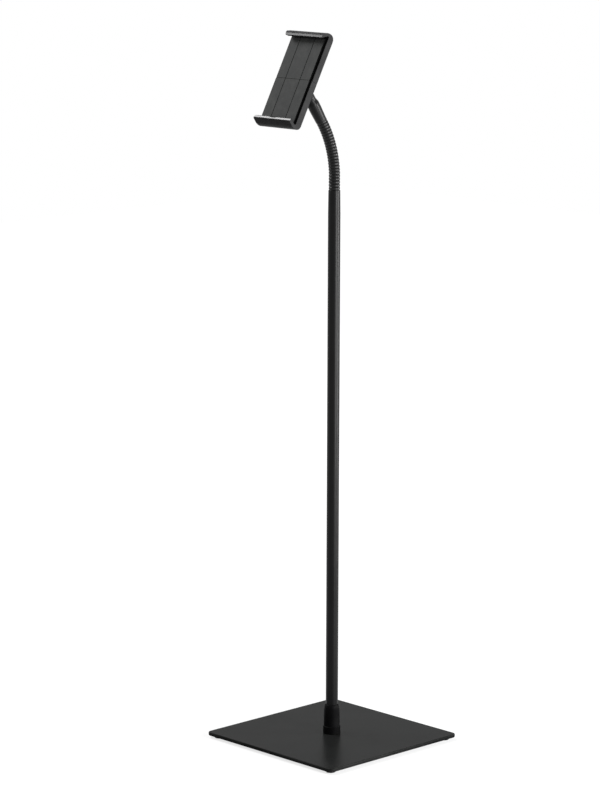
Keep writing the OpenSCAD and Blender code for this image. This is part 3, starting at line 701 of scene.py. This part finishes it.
# Ball liner: a split nylon cup between the ball and its socket, which gives the joint its smooth drag.
# It is moulded in natural grey and shows only as a thin edge in the socket's mouth.
nylon = surface("liner_nylon", dark=(0.30, 0.30, 0.29), light=(0.36, 0.36, 0.35),
                rough=(0.4, 0.5), grain_size=0.5*MM, cloud_size=8*MM, relief=0.01*MM)
keep_node("ball_liner", nylon)


# Socket: a moulded flange that holds the ball from behind, screwed to the back of the lower shell.
# Glass-filled nylon, black, with its screws through the flange.
holder_front = Vector(joints["holder_roll"]["axis"])
holder_up = Vector(joints["clamp_slide"]["axis"])
socket_plastic = surface("socket_plastic", dark=(0.006, 0.006, 0.0063), light=(0.009, 0.009, 0.0093),
                         rough=(0.4, 0.5), grain_size=0.4*MM, cloud_size=12*MM, relief=0.02*MM,
                         rub=0.3, rubbed=0.03, specular=0.12)
socket_low, socket_high = reach_along("ball_socket", -holder_front, ball_centre)
holder_back = along(-holder_front, ball_centre - socket_low*holder_front)
ball_depth = -socket_low
socket_end = socket_high - socket_low
flange_radius = 20*MM
flange_thickness = 3.2*MM
moulded_edge = 0.8*MM
socket_radius = 13.76*MM
socket_bore = 11.36*MM
socket_outline = [(0, 0), (flange_radius, 0), (flange_radius, flange_thickness, moulded_edge),
                  (socket_radius, flange_thickness, crisp_edge), (socket_radius, socket_end, rounded_mouth),
                  (math.sqrt(socket_bore**2 - (socket_end - ball_depth)**2), socket_end)]
socket_profile = softened(socket_outline, closed=False)
cavity_steps = 16
cavity_start = math.acos((socket_end - ball_depth)/socket_bore)
for step in range(1, cavity_steps + 1):
    angle = cavity_start + (math.pi - cavity_start)*step/cavity_steps
    socket_profile.append((socket_bore*math.sin(angle), ball_depth + socket_bore*math.cos(angle), 0.0))
fit_piece("socket_moulded", turned(socket_profile, holder_back, closed=False), socket_plastic, "holder",
          "shell_plastic", "ball_socket")
holder_screw_shank = 1.45*MM
socket_screw_head = 1.2*MM
fit_screws("socket_screws_zinc", "socket_screws", -holder_front, holder_screw_shank, socket_screw_head,
           "holder")


# Ring nut: a fluted ring that screws onto the socket and squeezes the liner onto the ball.
# Moulded in the same black nylon, with shallow flutes for the fingers all round.
flutes_tree, flutes_in, flutes_out = geometry_tree("grip_flutes", {
    "Flutes": "Float", "Flute Depth": "Float", "Body Radius": "Float", "Finish": "Material"})
ring_place = add_node(flutes_tree, "GeometryNodeInputPosition")
ring_flat = add_node(flutes_tree, "ShaderNodeVectorMath", {
    0: ring_place.outputs["Position"], 1: (1, 1, 0)}, operation="MULTIPLY")
from_axis = ring_flat.outputs["Vector"]
ring_reach = add_node(flutes_tree, "ShaderNodeVectorMath", {0: from_axis}, operation="LENGTH")
ring_out = add_node(flutes_tree, "ShaderNodeVectorMath", {0: from_axis}, operation="NORMALIZE")
ring_parts = add_node(flutes_tree, "ShaderNodeSeparateXYZ", {"Vector": from_axis})
ring_angle = worked_out(flutes_tree, "ARCTAN2", ring_parts.outputs["Y"], ring_parts.outputs["X"])
ring_turns = worked_out(flutes_tree, "MULTIPLY", ring_angle, flutes_in.outputs["Flutes"])
ring_wave = worked_out(flutes_tree, "COSINE", ring_turns)
ring_hollow = add_node(flutes_tree, "ShaderNodeMapRange", {
    "Value": ring_wave, "From Min": 0.1, "From Max": 1.0}, interpolation_type="SMOOTHSTEP")
ring_depth = worked_out(flutes_tree, "MULTIPLY", ring_hollow.outputs["Result"],
                        flutes_in.outputs["Flute Depth"])
ring_inward = worked_out(flutes_tree, "MULTIPLY", ring_depth, -1.0)
ring_shift = add_node(flutes_tree, "ShaderNodeVectorMath", {
    0: ring_out.outputs["Vector"], "Scale": ring_inward}, operation="SCALE")
ring_outside = worked_out(flutes_tree, "GREATER_THAN", ring_reach.outputs["Value"],
                          flutes_in.outputs["Body Radius"])
ring_move = add_node(flutes_tree, "GeometryNodeSetPosition", {
    "Geometry": flutes_in.outputs["Geometry"], "Selection": ring_outside,
    "Offset": ring_shift.outputs["Vector"]})
end_tree(flutes_tree, flutes_in, ring_move.outputs["Geometry"], flutes_out)
ring_foot, ring_top = reach_along("lock_ring", -holder_front, holder_back.translation)
ring_bore = 13.84*MM
ring_radius = 16.44*MM
ring_flutes = 20
flute_depth = 0.7*MM
flute_sides = 12
fluted_skin = 1*MM
ring_outline = [(ring_bore, ring_foot), (ring_radius, ring_foot, moulded_edge),
                (ring_radius, ring_top, moulded_edge), (ring_bore, ring_top)]
ring_blank = make_pattern("ring_pattern", turned(softened(ring_outline), sides=flute_sides*ring_flutes))
ring_nut = grow("ring_nut_fluted", flutes_tree, ring_blank.data.copy(), {
    "Flutes": float(ring_flutes), "Flute Depth": flute_depth, "Body Radius": ring_radius - fluted_skin,
    "Finish": socket_plastic})
drop(ring_blank)
ring_nut.data.transform(holder_back)
put_on(ring_nut, "ring", "shell_plastic", "lock_ring")


# Shells of the holder: two moulded halves in black plastic with a fine grain, each ending in a hook with a
# rounded nose and, inside of it, a polished band. The lower one carries the socket; the upper one slides up
# and down on a tongue inside the lower one.
def round_off(bm, lines, width, segments):
    """Rounds edges of a mesh and returns the vertices of the roundings."""
    made = bmesh.ops.bevel(bm, geom=lines, offset=width, offset_type="OFFSET", segments=segments,
                           profile=0.5, affect="EDGES", clamp_overlap=True)
    return made["verts"]


def soften_edges(bm, width):
    """Rounds the sharp edges of a mesh, marks the roundings and returns the mesh."""
    sharp = math.radians(32)
    edge = bm.verts.layers.float["edge"]
    corners = [line for line in bm.edges
               if len(line.link_faces) == 2 and line.calc_face_angle(0) > sharp]
    for vertex in round_off(bm, corners, width, segments=2):
        vertex[edge] = 1.0
    return bm


shell_plastic = surface("shell_plastic", dark=(0.017, 0.017, 0.0175), light=(0.022, 0.022, 0.0225),
                        rough=(0.34, 0.42), grain_size=0.35*MM, cloud_size=25*MM, relief=0.015*MM,
                        rub=0.25, rubbed=0.05, specular=0.018)
polished_nose = surface("polished_nose", dark=(0.006, 0.006, 0.0063), light=(0.008, 0.008, 0.0083),
                        rough=(0.15, 0.19), grain_size=0.5*MM, cloud_size=40*MM, relief=0.003*MM,
                        specular=0.085)
holder_halves = {"lower": "holder", "upper": "upper_jaw"}
half_side = {"lower": -1, "upper": 1}
nose_rounding = {"lower": 2.2*MM, "upper": 3.1*MM}
seam_rise = 1.5*MM
seam_centre = holder_back.translation + seam_rise*holder_up
nose_reach = 29.4*MM
nose_height = 82.1*MM
nose_play = 0.9*MM
nose_line = 0.01*MM
shell_edge = 0.45*MM
band_depth = 4*MM
band_inward = 0.05
band_forward = 0.6
shell_screw_head = 1.0*MM
across_holder = Vector((1, 0, 0))
for half, body in holder_halves.items():
    shell = merged_copy(f"{half}_shell")
    outward = half_side[half]*holder_up
    nose = seam_centre + nose_reach*holder_front + nose_height*outward
    # The nose's small CAD rounding is drawn together into one edge, which then gets the full rounding
    nose_ends = [vertex for vertex in shell.verts if off_line(vertex.co, nose, across_holder) < nose_play]
    for vertex in nose_ends:
        vertex.co = nose + vertex.co.x*across_holder
    bmesh.ops.remove_doubles(shell, verts=nose_ends, dist=weld_gap)
    nose_edges = [line for line in shell.edges
                  if all(off_line(vertex.co, nose, across_holder) < nose_line for vertex in line.verts)]
    round_off(shell, nose_edges, nose_rounding[half], segments=10)
    soften_edges(shell, shell_edge)
    shell.normal_update()
    # Polished are the faces at the hook's front that look forward and lean in towards the tablet
    for face in shell.faces:
        at_front = (face.calc_center_median() - seam_centre).dot(holder_front) > nose_reach - band_depth
        leans_in = -face.normal.dot(outward) > band_inward
        looks_forward = face.normal.dot(holder_front) > band_forward
        face.material_index = int(at_front and leans_in and looks_forward)
    moulding = fit_piece(f"{half}_shell_moulded", shell, shell_plastic, body, "shell_plastic",
                         f"{half}_shell")
    moulding.data.materials.append(polished_nose)
    fit_screws(f"{half}_screws_zinc", f"{half}_screws", -holder_front, holder_screw_shank, shell_screw_head,
               body)


# Tongue: a moulded channel that joins the upper half to the lower half and keeps the two in line.
# It runs between rails of the lower shell and is screwed to the upper one.
tongue_plastic = surface("tongue_plastic", dark=(0.014, 0.014, 0.0145), light=(0.02, 0.02, 0.0205),
                         rough=(0.45, 0.55), grain_size=0.4*MM, cloud_size=20*MM, relief=0.02*MM,
                         rub=0.3, rubbed=0.05, specular=0.15)
fit_piece("tongue_moulded", soften_edges(merged_copy("slide_tongue"), broken_edge), tongue_plastic,
          "upper_jaw", "shell_plastic", "slide_tongue")
fit_screws("tongue_screws_zinc", "tongue_screws", -holder_front, holder_screw_shank, shell_screw_head,
           "upper_jaw")


# Springs: two tension springs of thin steel wire inside the lower half, which pull the halves together.
# Each hangs between lugs of the lower shell and of the tongue, and stretches as the jaw is pulled out.
spring_steel = surface("spring_steel", dark=(0.42, 0.42, 0.43), light=(0.52, 0.52, 0.53),
                       rough=(0.22, 0.32), grain_size=0.3*MM, cloud_size=5*MM, relief=0.005*MM, metal=1.0)
spring_turns = 18
spring_wire = 0.35*MM
spring_reach = 2.2*MM
spring_rings = 24
spring_sides = 10
for side in ("left", "right"):
    foot_point, length = foot_and_length(solids_of(f"spring_{side}")[0], holder_up)
    coil = bmesh.new()
    coil.verts.layers.float.new("edge")
    rings = []
    for step in range(spring_turns*spring_rings + 1):
        angle = math.tau*step/spring_rings
        out = Vector((math.cos(angle), math.sin(angle), 0))
        rise = spring_wire + (length - 2*spring_wire)*step/(spring_turns*spring_rings)
        wire = []
        for i in range(spring_sides):
            around = math.tau*i/spring_sides
            reach = spring_reach - spring_wire + spring_wire*math.cos(around)
            wire.append(coil.verts.new(reach*out + Vector((0, 0, rise + spring_wire*math.sin(around)))))
        rings.append(wire)
    for low, high in zip(rings, rings[1:]):
        for i in range(spring_sides):
            coil.faces.new((low[i], low[(i + 1) % spring_sides], high[(i + 1) % spring_sides], high[i]))
    coil.faces.new(rings[0])
    coil.faces.new(rings[-1])
    bmesh.ops.recalc_face_normals(coil, faces=coil.faces)
    coil.transform(along(holder_up, foot_point))
    spring = smooth_piece(f"spring_{side}_wound", coil)
    spring.data.materials.append(spring_steel)
    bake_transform(spring, "holder", "upper_jaw", start=foot_point, end=foot_point + length*holder_up)
    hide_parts(f"spring_{side}")


# Face plates: flat moulded plates that close each half from the front and carry the pad.
# They are black and dull, stand a little proud of the shells' walls and are held by screws from the back.
face_plastic = surface("face_plate_plastic", dark=(0.0024, 0.0024, 0.0025), light=(0.0036, 0.0036, 0.0037),
                       rough=(0.75, 0.85), grain_size=0.4*MM, cloud_size=20*MM, relief=0.02*MM,
                       specular=0.01)
face_plate_edge = 0.25*MM
for half, body in holder_halves.items():
    face_plate = soften_edges(merged_copy(f"{half}_face_plate"), face_plate_edge)
    fit_piece(f"{half}_face_plate_moulded", face_plate, face_plastic, body, "shell_plastic",
              f"{half}_face_plate")


# Pads: dark grey rubber sheets glued to the face plates, each parted into three strips by two grooves.
# The rubber has a fine matt grain drawn along its length; its cut edges get the plates' black as painted
# shade.
pad_rubber = surface("pad_rubber", dark=(0.033, 0.034, 0.034), light=(0.063, 0.064, 0.063),
                     rough=(0.75, 0.9), grain_size=0.5*MM, cloud_size=13*MM, relief=0.05*MM,
                     stretch=0.35, specular=0.12)
pad_edge = 0.15*MM
pad_shade_limit = 0.5
for half, body in holder_halves.items():
    sheet = soften_edges(merged_copy(f"{half}_pad"), pad_edge)
    sheet.normal_update()
    # Faces that don't look forward, the pad's cut edges, are painted black as shade in the gap beside the
    # walls.
    for face in sheet.faces:
        face.material_index = int(face.normal.dot(holder_front) < pad_shade_limit)
    pad = fit_piece(f"{half}_pad_rubber", sheet, pad_rubber, body, "pad_rubber", f"{half}_pad")
    pad.data.materials.append(face_plastic)


# Grips: thin rubber strips on the slopes inside the two hooks, where the tablet's edges rest.
# They are cut from a sheet of black rubber and glued in.
grip_rubber = surface("grip_rubber", dark=(0.006, 0.006, 0.006), light=(0.009, 0.009, 0.009),
                      rough=(0.7, 0.85), grain_size=0.4*MM, cloud_size=10*MM, relief=0.04*MM, specular=0.08)
grip_edge = 0.25*MM
for half, body in holder_halves.items():
    strip = soften_edges(merged_copy(f"{half}_grip"), grip_edge)
    fit_piece(f"{half}_grip_rubber", strip, grip_rubber, body, "pad_rubber", f"{half}_grip")


# Studio: a white floor that runs out of sight, two tall soft boxes to the right, a wide one above on the
# left and a small one at the left. Floor and sky look white to the camera and in reflections, and the floor
# keeps the stand's soft shadow.
def white_to_camera(tree):
    """A value of 1 for what the camera, a reflection or a clear piece sees, and 0 for light that falls."""
    path = add_node(tree, "ShaderNodeLightPath")
    value = path.outputs["Is Camera Ray"]
    for ray in ("Is Glossy Ray", "Is Transmission Ray"):
        value = worked_out(tree, "MAXIMUM", value, path.outputs[ray])
    return value


floor_size = 12.0
glow_near, glow_far = 0.75, 1.0
shadow_reach, white_reach = 0.5, 2.2
floor_paint = bpy.data.materials.new("floor_paint")
floor_paint.use_nodes = True
floor_tree = floor_paint.node_tree
floor_shader = floor_tree.nodes["Principled BSDF"]
floor_shader.inputs["Base Color"].default_value = (0.25, 0.25, 0.25, 1)
floor_shader.inputs["Roughness"].default_value = 0.9
floor_shader.inputs["Specular IOR Level"].default_value = 0.0
floor_place = add_node(floor_tree, "ShaderNodeTexCoord")
from_stand = add_node(floor_tree, "ShaderNodeVectorMath", {
    0: floor_place.outputs["Object"]}, operation="LENGTH")
glow_level = add_node(floor_tree, "ShaderNodeMapRange", {
    "Value": from_stand.outputs["Value"], "From Min": shadow_reach, "From Max": white_reach,
    "To Min": glow_near, "To Max": glow_far})
glow = add_node(floor_tree, "ShaderNodeEmission", {"Strength": glow_level.outputs["Result"]})
nothing = add_node(floor_tree, "ShaderNodeEmission", {"Strength": 0.0})
seen = add_node(floor_tree, "ShaderNodeMixShader", {
    0: white_to_camera(floor_tree), 1: nothing.outputs["Emission"], 2: glow.outputs["Emission"]})
both = add_node(floor_tree, "ShaderNodeAddShader", {
    0: floor_shader.outputs["BSDF"], 1: seen.outputs["Shader"]})
floor_tree.links.new(both.outputs["Shader"], floor_tree.nodes["Material Output"].inputs["Surface"])
floor_mesh = bpy.data.meshes.new("floor")
half_floor = floor_size/2
floor_mesh.from_pydata(
    [(x, y, 0) for x, y in ((-half_floor, -half_floor), (half_floor, -half_floor),
                            (half_floor, half_floor), (-half_floor, half_floor))], [], [(0, 1, 2, 3)])
floor_mesh.materials.append(floor_paint)
floor = bpy.data.objects.new("floor", floor_mesh)
bpy.context.scene.collection.objects.link(floor)

sky_level = 0.22
sky = bpy.data.worlds.new("studio_sky")
sky.use_nodes = True
bpy.context.scene.world = sky
sky_tree = sky.node_tree
sky_light = sky_tree.nodes["Background"]
sky_light.inputs["Color"].default_value = (1, 1, 1, 1)
sky_light.inputs["Strength"].default_value = sky_level
sky_white = add_node(sky_tree, "ShaderNodeBackground", {"Color": (1, 1, 1, 1), "Strength": 1.0})
sky_mix = add_node(sky_tree, "ShaderNodeMixShader", {
    0: white_to_camera(sky_tree), 1: sky_light.outputs["Background"], 2: sky_white.outputs["Background"]})
sky_tree.links.new(sky_mix.outputs["Shader"], sky_tree.nodes["World Output"].inputs["Surface"])


def soft_box(name, place, aim, width, height, power):
    """A rectangular soft light that faces a point."""
    lamp = bpy.data.lights.new(name, "AREA")
    lamp.shape = "RECTANGLE"
    lamp.size = width
    lamp.size_y = height
    lamp.energy = power
    box = bpy.data.objects.new(name, lamp)
    box.location = place
    box.rotation_euler = (Vector(aim) - Vector(place)).to_track_quat("-Z", "Y").to_euler()
    bpy.context.scene.collection.objects.link(box)


pole_middle = (0, 0, 0.71)
soft_box("right_back_soft_box", place=(1.9, 1.7, 0.71), aim=pole_middle, width=0.6, height=1.4, power=78)
soft_box("right_soft_box", place=(2.5, 0.1, 0.71), aim=pole_middle, width=0.6, height=1.4, power=78)
soft_box("upper_left_soft_box", place=(-1.75, -0.72, 2.85), aim=(0, -0.1, 1.2),
         width=1.3, height=0.7, power=84)
soft_box("left_soft_box", place=(-1.73, -1.66, 1.81), aim=(0, -0.09, 1.255),
         width=0.4, height=0.3, power=12)


# Camera: at the photograph's place, in front of the stand and to its right, looking a little down.
# The view is a long lens with an upright frame.
camera_place = Vector((3.961, -3.907, 1.662))
camera_yaw = math.radians(46.0)
camera_pitch = math.radians(10.60)
camera_roll = math.radians(0.17)
lens_length = 144
film_height = 36
farthest_seen = 200
camera = bpy.data.cameras.new("camera")
camera.sensor_fit = "VERTICAL"
camera.sensor_height = film_height
camera.lens = lens_length
camera.clip_end = farthest_seen
right = Vector((math.cos(camera_yaw), math.sin(camera_yaw), 0))
back = Vector((math.sin(camera_yaw)*math.cos(camera_pitch), -math.cos(camera_yaw)*math.cos(camera_pitch),
               math.sin(camera_pitch)))
up = back.cross(right)
rolled_right = math.cos(camera_roll)*right + math.sin(camera_roll)*up
rolled_up = math.cos(camera_roll)*up - math.sin(camera_roll)*right
view = bpy.data.objects.new("camera", camera)
camera_axes = Matrix((rolled_right, rolled_up, back)).transposed()
view.matrix_world = Matrix.Translation(camera_place) @ camera_axes.to_4x4()
bpy.context.scene.collection.objects.link(view)
bpy.context.scene.camera = view
bpy.context.scene.view_settings.view_transform = "Standard"
